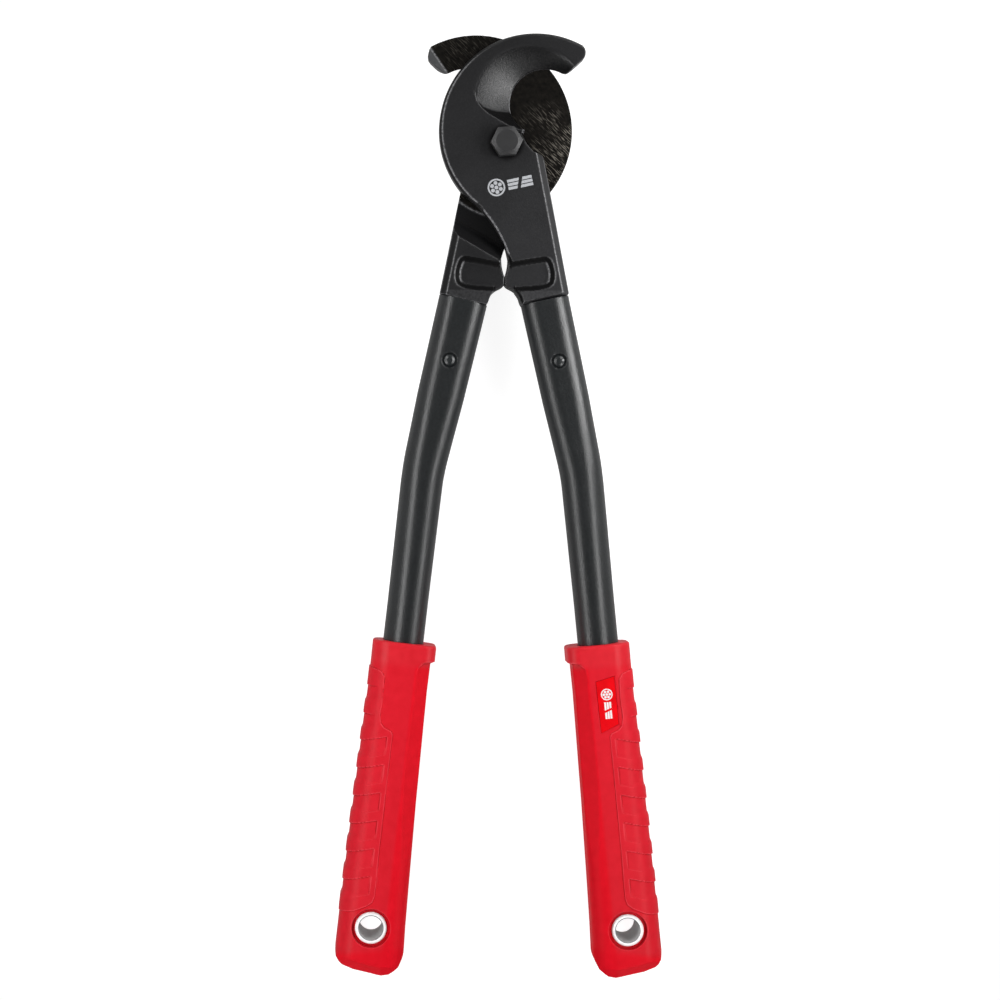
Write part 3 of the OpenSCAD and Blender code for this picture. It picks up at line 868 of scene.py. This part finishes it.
class Nodes:
    """Builds the node tree of a material or a world."""

    def __init__(self, owner, space="Object"):
        owner.use_nodes = True
        self.owner = owner
        self.tree = owner.node_tree
        if space:
            self.place = self.node("ShaderNodeTexCoord").outputs[space]

    def node(self, kind, **settings):
        node = self.tree.nodes.new(kind)
        for key, value in settings.items():
            setattr(node, key, value)
        return node

    def link(self, source, socket):
        self.tree.links.new(source, socket)

    def feed(self, socket, value):
        """Links a socket, or sets a number or a colour."""
        if isinstance(value, bpy.types.NodeSocket):
            self.link(value, socket)
        elif isinstance(value, tuple):
            socket.default_value = (*value, 1)
        else:
            socket.default_value = value

    def noise(self, scale, detail=2.0, rough=0.5, vector=None, distortion=0.0):
        node = self.node("ShaderNodeTexNoise")
        node.inputs["Scale"].default_value = scale
        node.inputs["Detail"].default_value = detail
        node.inputs["Roughness"].default_value = rough
        node.inputs["Distortion"].default_value = distortion
        self.link(vector or self.place, node.inputs["Vector"])
        return node.outputs["Fac"]

    def mapping(self, vector, setting, value):
        node = self.node("ShaderNodeMapping")
        node.inputs[setting].default_value = value
        self.link(vector, node.inputs["Vector"])
        return node.outputs["Vector"]

    def ramp(self, value, dark, light, span=(0.3, 0.7)):
        node = self.node("ShaderNodeValToRGB")
        for stop, position, colour in zip(node.color_ramp.elements, span, (dark, light)):
            stop.position = position
            stop.color = (*colour, 1)
        self.link(value, node.inputs["Fac"])
        return node.outputs["Color"]

    def mix(self, factor, first, second, mode="MIX"):
        node = self.node("ShaderNodeMix", data_type="RGBA", blend_type=mode)
        for index, value in ((0, factor), (6, first), (7, second)):
            self.feed(node.inputs[index], value)
        return node.outputs[2]

    def tint(self, first, second):
        return self.mix(1.0, first, second, "MULTIPLY")

    def math(self, operation, first, second=0.0, clamp=False):
        node = self.node("ShaderNodeMath", operation=operation, use_clamp=clamp)
        self.feed(node.inputs[0], first)
        self.feed(node.inputs[1], second)
        return node.outputs[0]

    def times(self, first, second, clamp=False):
        return self.math("MULTIPLY", first, second, clamp)

    def plus(self, first, second):
        return self.math("ADD", first, second)

    def attribute(self, name):
        return self.node("ShaderNodeAttribute", attribute_name=name).outputs["Fac"]

    def axes(self, vector):
        node = self.node("ShaderNodeSeparateXYZ")
        self.link(vector, node.inputs[0])
        return node.outputs

    def level(self):
        """1 where a face looks along Z, 0 where it stands upright."""
        normal = self.node("ShaderNodeNewGeometry").outputs["True Normal"]
        return self.math("ABSOLUTE", self.axes(normal)[2])

    def distance(self, place, centre):
        """Distance in XY from the centre, or from its mirror image across x = 0."""
        off_x = self.math("SUBTRACT", self.math("ABSOLUTE", place[0]), centre[0])
        off_y = self.plus(place[1], -centre[1])
        return self.math("SQRT", self.plus(self.times(off_x, off_x), self.times(off_y, off_y)))

    def remap(self, value, span=(0.3, 0.7), to=(0.0, 1.0)):
        node = self.node("ShaderNodeMapRange")
        node.inputs["From Min"].default_value, node.inputs["From Max"].default_value = span
        node.inputs["To Min"].default_value, node.inputs["To Max"].default_value = to
        self.link(value, node.inputs["Value"])
        return node.outputs["Result"]

    def bump(self, height, depth, strength, below=None):
        node = self.node("ShaderNodeBump")
        node.inputs["Distance"].default_value = depth
        node.inputs["Strength"].default_value = strength
        self.link(height, node.inputs["Height"])
        if below is not None:
            self.link(below, node.inputs["Normal"])
        return node.outputs["Normal"]

    def set(self, **settings):
        """Sets the surface's inputs and gives the material back."""
        surface = self.tree.nodes["Principled BSDF"]
        for key, value in settings.items():
            self.feed(surface.inputs[key.replace("_", " ")], value)
        return self.owner


def material(name):
    return Nodes(bpy.data.materials.new(name))


def scratches(mat, place):
    """Short wheel scratches, heaviest towards the cutting side and fainter at the tip."""
    turned = mat.mapping(mat.place, "Rotation", (0, 0, math.radians(45)))
    drawn_out = mat.mapping(turned, "Scale", (0.36, 3.7, 1))
    lines = mat.remap(mat.noise(scale=620, detail=1, vector=drawn_out), span=(0.55, 0.63))
    patches = mat.remap(mat.noise(scale=55, detail=1), span=(0.36, 0.62))
    heavy = mat.remap(mat.distance(place, centre=(0.0225, -0.003)), span=(0.026, 0.012))
    tip = mat.remap(place[1], span=(0.028, 0.033), to=(0.0, 0.22))
    heavy = mat.math("MAXIMUM", heavy, tip)
    return mat.times(lines, mat.times(patches, heavy), clamp=True)


def forged():
    mat = material("forged_black")
    fine = mat.noise(scale=2300, detail=3, rough=0.65)
    mid = mat.noise(scale=420, detail=3, rough=0.55)
    broad = mat.noise(scale=45)
    place = mat.axes(mat.place)
    # the ground sliding face is brown-black
    flat = mat.remap(mat.level(), span=(0.93, 0.97))
    near = mat.remap(mat.math("ABSOLUTE", place[2]), span=(0.00042, 0.0003))
    ground = mat.times(flat, near, clamp=True)
    ground_colour = mat.ramp(mid, dark=(0.0020, 0.0018, 0.0015), light=(0.0085, 0.0073, 0.0060))
    ground_colour = mat.mix(scratches(mat, place), ground_colour, (0.135, 0.124, 0.106))
    # black skin, greyer down the shank, with painted shade darkening the hollows
    speckle = mat.plus(mat.times(fine, 0.6), mat.times(broad, 0.4))
    skin = mat.ramp(speckle, dark=(0.0075, 0.0075, 0.0081), light=(0.0165, 0.0165, 0.0176))
    grey = mat.remap(place[1], span=(0.030, -0.045), to=(0.85, 1.45))
    grey = mat.ramp(mat.times(grey, 0.5), dark=(0, 0, 0), light=(1, 1, 1), span=(0.0, 1.0))
    skin = mat.tint(mat.tint(skin, grey), (2.0, 2.0, 2.0))
    painted_shade = mat.remap(mat.attribute("painted_shade"), span=(0.06, 0.42))
    skin = mat.mix(mat.times(painted_shade, 0.8), skin, (0.0030, 0.0029, 0.0029))
    # bright worn edges that also carry painted edge highlights, the ground face, the tip's facet,
    # and painted highlight lines broken up by noise
    patchy = mat.remap(mat.noise(scale=500, detail=3, rough=0.6), span=(0.28, 0.6), to=(0.25, 1.0))
    wear_and_highlight = mat.times(mat.remap(mat.attribute("wear_and_highlight"), span=(0.5, 1.4)), patchy, clamp=True)
    colour = mat.mix(wear_and_highlight, skin, (0.27, 0.27, 0.28))
    colour = mat.mix(ground, colour, ground_colour)
    facet = mat.mix(mid, (0.045, 0.046, 0.048), (0.085, 0.086, 0.090))
    colour = mat.mix(mat.attribute("facet"), colour, facet)
    # painted highlight lines, broken up by noise
    highlight_breakup = mat.remap(mat.noise(scale=900, detail=3, rough=0.65), span=(0.34, 0.56), to=(0.15, 1.0))
    line = mat.times(mat.attribute("line"), highlight_breakup, clamp=True)
    colour = mat.mix(line, colour, (0.26, 0.26, 0.27))
    rough = mat.plus(mat.remap(fine, to=(0.29, 0.40)), mat.times(wear_and_highlight, 0.06))
    rough = mat.plus(rough, mat.times(ground, 0.10))
    # the ground face shines less, and painted shade cuts the shine in the hollows
    shine = mat.math("SUBTRACT", 0.46, mat.times(ground, 0.34))
    shine = mat.times(shine, mat.math("SUBTRACT", 1.0, mat.times(painted_shade, 0.85)))
    relief = mat.bump(mat.noise(scale=1350, detail=3, rough=0.6), depth=0.00011, strength=0.9)
    relief = mat.bump(mid, depth=0.00007, strength=0.45, below=relief)
    hammered = mat.times(mat.noise(scale=1050, detail=4, rough=0.65, distortion=0.6),
                         mat.attribute("spoon"))
    relief = mat.bump(hammered, depth=0.00014, strength=1.0, below=relief)
    return mat.set(Base_Color=colour, Roughness=rough, Metallic=0.0, Normal=relief,
                   Specular_IOR_Level=shine)


def powder():
    mat = material("powder_coat")
    fine = mat.noise(scale=1250, rough=0.55)
    colour = mat.ramp(fine, dark=(0.0048, 0.0060, 0.0066), light=(0.0120, 0.0137, 0.0147),
                      span=(0.3, 0.75))
    # paler convex edges: wear together with painted edge highlight
    wear_and_highlight = mat.remap(mat.attribute("wear_and_highlight"), span=(0.9, 2.2), to=(0, 0.5))
    colour = mat.mix(wear_and_highlight, colour, (0.10, 0.105, 0.11))
    return mat.set(Base_Color=colour, Roughness=mat.remap(mat.noise(scale=60), to=(0.33, 0.37)),
                   Metallic=0.0, Normal=mat.bump(fine, depth=0.00011, strength=0.9),
                   Specular_IOR_Level=0.66)


def grip_plastic():
    mat = material("grip_red_plastic")
    mid = mat.noise(scale=260, detail=3)
    colour = mat.ramp(mid, dark=(0.58, 0.0060, 0.0155), light=(0.63, 0.0072, 0.0185))
    # painted sheen: the outer pad is tinted pinker
    colour = mat.mix(mat.attribute("zone"), colour, mat.tint(colour, (1.0, 1.25, 1.15)))
    # darker towards the handle's end, painted shade in the hollows, paler edges for wear and
    # painted highlights
    far_end = mat.remap(mat.axes(mat.place)[1], span=(-0.26, -0.37), to=(0.0, 0.10))
    colour = mat.mix(far_end, colour, (0.0, 0.0, 0.0))
    painted_shade = mat.remap(mat.attribute("painted_shade"), span=(0.05, 0.34))
    colour = mat.mix(mat.times(painted_shade, 0.62), colour, (0.36, 0.0006, 0.0030))
    wear_and_highlight = mat.remap(mat.attribute("wear_and_highlight"), span=(0.30, 1.2), to=(0.0, 0.36))
    colour = mat.mix(wear_and_highlight, colour, (0.88, 0.090, 0.120))
    # painted light: the dull inner facets and blunt end are painted a brighter, deeper red
    painted_facet_light = mat.remap(mat.attribute("sheen"), span=(0.15, 0.05))
    colour = mat.mix(painted_facet_light, colour, mat.tint(colour, (1.09, 0.9, 0.9)))
    rough = mat.plus(mat.remap(mid, to=(0.42, 0.50)), mat.times(mat.attribute("zone"), 0.04))
    relief = mat.bump(mat.noise(scale=2400), depth=0.00006, strength=0.7)
    relief = mat.bump(mid, depth=0.00012, strength=0.3, below=relief)
    return mat.set(Base_Color=colour, Roughness=rough, Normal=relief,
                   Specular_IOR_Level=mat.attribute("sheen"))


def plain(name, colour, rough, metal=0.0, grain=900, depth=0.00002, shine=0.5):
    """An even finish with a fine grain, for metal and plastic alike."""
    mat = material(name)
    fine = mat.noise(scale=grain, detail=3, rough=0.6)
    shade = mat.ramp(mat.noise(scale=180), dark=tuple(part * 0.88 for part in colour),
                     light=tuple(min(1, part * 1.1) for part in colour))
    return mat.set(Base_Color=shade, Metallic=metal, Specular_IOR_Level=shine,
                   Roughness=mat.remap(fine, to=(max(rough - 0.05, 0.02), rough + 0.07)),
                   Normal=mat.bump(fine, depth=depth, strength=0.6))


def ink(name, colour, worn):
    """Printing ink; worn is how bright its worn spots are."""
    mat = material(name)
    spots = mat.remap(mat.noise(scale=2600, detail=3, rough=0.6), span=(0.30, 0.42))
    shade = mat.mix(spots, tuple(part * worn for part in colour), colour)
    shade = mat.mix(mat.remap(mat.noise(scale=330), to=(0.0, 0.25)), shade,
                    tuple(part * 0.7 for part in colour))
    return mat.set(Base_Color=shade, Roughness=0.5, Specular_IOR_Level=0.35,
                   Normal=mat.bump(mat.noise(scale=1800), depth=0.00002, strength=0.5))


def nickel():
    """Bright plating with pale flanges; painted shade makes the bore grey and the rounded rim
    between them dark.
    """
    mat = material("nickel_plate")
    # from the hanging hole's axis
    radius = mat.distance(mat.axes(mat.place), centre=(0.05812, -0.35645))
    wall = mat.remap(mat.level(), span=(0.35, 0.15))
    bore_shade = mat.times(wall, mat.remap(radius, span=(0.0060, 0.0057)), clamp=True)
    rim_shade = mat.times(mat.remap(radius, span=(0.00582, 0.00568)),
                    mat.math("SUBTRACT", 1.0, wall), clamp=True)
    fine = mat.noise(scale=900)
    colour = mat.ramp(fine, dark=(0.86, 0.875, 0.88), light=(0.93, 0.94, 0.94))
    # painted shade on the bore's wall and on the rounded rim
    colour = mat.mix(bore_shade, colour, (0.50, 0.50, 0.50))
    colour = mat.mix(rim_shade, colour, (0.13, 0.14, 0.145))
    return mat.set(Base_Color=colour, Roughness=mat.remap(fine, to=(0.30, 0.36)), Metallic=0.05,
                   Normal=mat.bump(fine, depth=0.000006, strength=0.5), Specular_IOR_Level=0.5)


MATERIALS = {
    "jaw_ink": ink("print_silver", (0.42, 0.43, 0.45), worn=0.35),
    "badge_ink": ink("print_white", (0.80, 0.78, 0.78), worn=0.8),
    "forged_steel": forged(),
    "powder_coat": powder(),
    "grip_red": grip_plastic(),
    "bolt_steel": plain("bolt_dark", (0.030, 0.030, 0.031), rough=0.42, metal=0.15,
                        grain=1800, depth=0.00005, shine=0.42),
    "washer_steel": plain("washer_zinc", (0.42, 0.42, 0.43), rough=0.35, metal=1.0),
    "rivet_steel": plain("rivet_black", (0.015, 0.017, 0.018), rough=0.24,
                         grain=1500, depth=0.00003),
    "nylon": plain("nylon_ring", (0.08, 0.16, 0.5), rough=0.5, grain=300),
    "nickel_plate": nickel(),
    "badge_gloss": plain("badge_red_gloss", (0.70, 0.002, 0.006), rough=0.14,
                         grain=500, depth=0.000006, shine=0.25),
}


def paint(ob, key):
    ob.data.materials.clear()
    ob.data.materials.append(MATERIALS[key])


for piece, _, _, slot_name in PIECES:
    paint(piece, slot_name)
paint(jaw_mark, "jaw_ink")
paint(badge_mark, "badge_ink")

# the CAD pieces that stay get a material and a small edge break
slots = {part["node"]: part["material_slot"] for part in frame["record"]["subparts"]}
replaced = {node_name for _, node_name, _, _ in PIECES}
for name, ob in frame["nodes"].items():
    if name in replaced:
        continue
    paint(ob, slots[name])
    bevel = ob.modifiers.new("edge_break", "BEVEL")
    bevel.width = 0.00018
    bevel.segments = 2
    bevel.limit_method = "ANGLE"
    bevel.angle_limit = math.radians(35)
    bevel.harden_normals = True
    for face in ob.data.polygons:
        face.use_smooth = True

# ------------------------------------------------------------------- stage

FLOOR_SIZE, FLOOR_Z = 6, -0.0215
STRIP_X, STRIP_Y, STRIP_Z = 0.130, -0.165, 0.125
CAMERA_Z = 0.985
CAMERA_AT = (-0.060494909, -0.148441752, CAMERA_Z)
CAMERA_ROLL = math.radians(0.547)
SENSOR = 36          # mm
VIEW_WIDTH = 0.4575  # width seen at z = 0


def add_floor():
    """A pale floor that looks brighter to the camera than to the cutter."""
    bpy.ops.mesh.primitive_plane_add(size=FLOOR_SIZE, location=(0, 0, FLOOR_Z))
    floor = bpy.context.object
    floor.name = "floor"
    mat = Nodes(bpy.data.materials.new("floor"), space=None)
    seen = mat.node("ShaderNodeLightPath").outputs["Is Camera Ray"]
    glow = mat.remap(seen, span=(0.0, 1.0), to=(0.22, 0.88))
    floor.data.materials.append(mat.set(
        Base_Color=(0.36, 0.36, 0.36), Roughness=0.9, Specular_IOR_Level=0.0,
        Emission_Color=(1, 1, 1), Emission_Strength=glow))


def add_world():
    """A dark overhead with a light horizon, dimmer towards the handles' ends."""
    world = bpy.data.worlds.new("studio")
    sky = Nodes(world, space="Generated")
    place = sky.axes(sky.place)
    overhead = sky.remap(place[2], span=(0.15, 0.75), to=(0.50, 0.12))
    handles = sky.remap(place[1], span=(-0.25, -0.70), to=(1.0, 0.35))
    background = sky.tree.nodes["Background"]
    sky.feed(background.inputs[0], (1, 1, 1))
    sky.feed(background.inputs[1], sky.times(overhead, handles))
    bpy.context.scene.world = world


def add_light(name, location, target, width, length, power):
    light = bpy.data.lights.new(name, "AREA")
    light.shape = "RECTANGLE"
    light.size, light.size_y = width, length
    light.energy = power
    ob = add_object(name, light)
    ob.location = location
    ob.rotation_euler = (Vector(target) - Vector(location)).to_track_quat("-Z", "Y").to_euler()
    ob.visible_camera = False


def add_camera():
    """Looks straight down, with the view shifted to frame the cutter."""
    camera = bpy.data.cameras.new("camera")
    camera.sensor_width = SENSOR
    camera.lens = SENSOR * CAMERA_Z / VIEW_WIDTH
    camera.shift_x = 0.130
    camera.shift_y = -0.032
    camera.clip_start, camera.clip_end = 0.01, 20
    ob = bpy.data.objects.new("camera", camera)
    ob.location = CAMERA_AT
    ob.rotation_euler = (0, 0, CAMERA_ROLL)
    bpy.context.scene.collection.objects.link(ob)
    bpy.context.scene.camera = ob


add_floor()
add_world()
for name, side in (("left_strip", -1), ("right_strip", 1)):
    add_light(name, (side * STRIP_X, STRIP_Y, STRIP_Z), target=(0.0, STRIP_Y, 0),
              width=1.5, length=0.036, power=1.15)
add_light("spoon_light", (0.257, -0.033, 0.145), target=(-0.002, 0.023, 0.003),
          width=0.085, length=0.085, power=0.40)
add_camera()
bpy.context.scene.view_settings.view_transform = "Standard"
